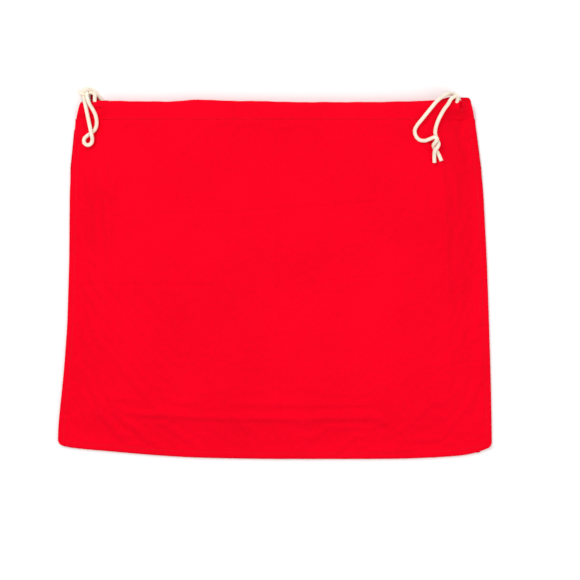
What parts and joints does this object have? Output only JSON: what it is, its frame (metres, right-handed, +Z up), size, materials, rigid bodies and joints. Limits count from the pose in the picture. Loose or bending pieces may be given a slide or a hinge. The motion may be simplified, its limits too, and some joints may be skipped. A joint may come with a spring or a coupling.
{
  "type": "drawstring gift sack",
  "caption": "Flat cotton drawstring gift sack with sewn sides and bottom, folded mouth casings and a cord knotted at one side and tied at the other.",
  "frame": {"origin": "middle of the sack's footprint, on the surface it lies on", "axes": "+X along the mouth from the knotted loop to the tied ends, +Y from the bottom seam to the mouth, +Z up through the sack"},
  "size_m": [0.4398, 0.3761, 0.0257],
  "materials": {
    "red_cotton": "plain woven cotton, matt",
    "red_cotton_inside": "plain woven cotton, raw edge, matt",
    "red_thread": "spun sewing thread",
    "cord_cotton": "braided undyed cotton cord, matt"
  },
  "bodies": {
    "sack": {"back_panel": "red_cotton", "front_panel": "red_cotton", "front_casing": "red_cotton", "back_casing": "red_cotton", "left_seam_allowance": "red_cotton_inside", "right_seam_allowance": "red_cotton_inside", "bottom_seam_allowance": "red_cotton_inside", "left_seam_stitching": "red_thread", "right_seam_stitching": "red_thread", "bottom_seam_stitching": "red_thread", "front_hem_stitching": "red_thread", "back_hem_stitching": "red_thread"},
    "right_cord": {"right_front_run": "cord_cotton", "right_back_run": "cord_cotton"},
    "right_strands": {"right_front_strand": "cord_cotton", "right_back_strand": "cord_cotton"},
    "left_cord": {"left_front_run": "cord_cotton", "left_back_run": "cord_cotton", "left_knot": "cord_cotton"},
    "left_strands": {"left_loop": "cord_cotton"}
  },
  "joints": [
    {"name": "right_cord_pull", "type": "slide", "parent": "sack", "child": "right_cord", "axis": [1, 0, 0], "range_m": [0, 0.15]},
    {"name": "right_strand_lift", "type": "hinge", "parent": "right_cord", "child": "right_strands", "pos_m": [0.18, 0.182, 0.0194], "axis": [-1, 0, 0], "range_deg": [0, 120]},
    {"name": "left_cord_pull", "type": "slide", "parent": "sack", "child": "left_cord", "axis": [-1, 0, 0], "range_m": [0, 0.15]},
    {"name": "left_loop_lift", "type": "hinge", "parent": "left_cord", "child": "left_strands", "pos_m": [-0.19, 0.181, 0.01], "axis": [-1, 0, 0], "range_deg": [0, 90]}
  ]
}
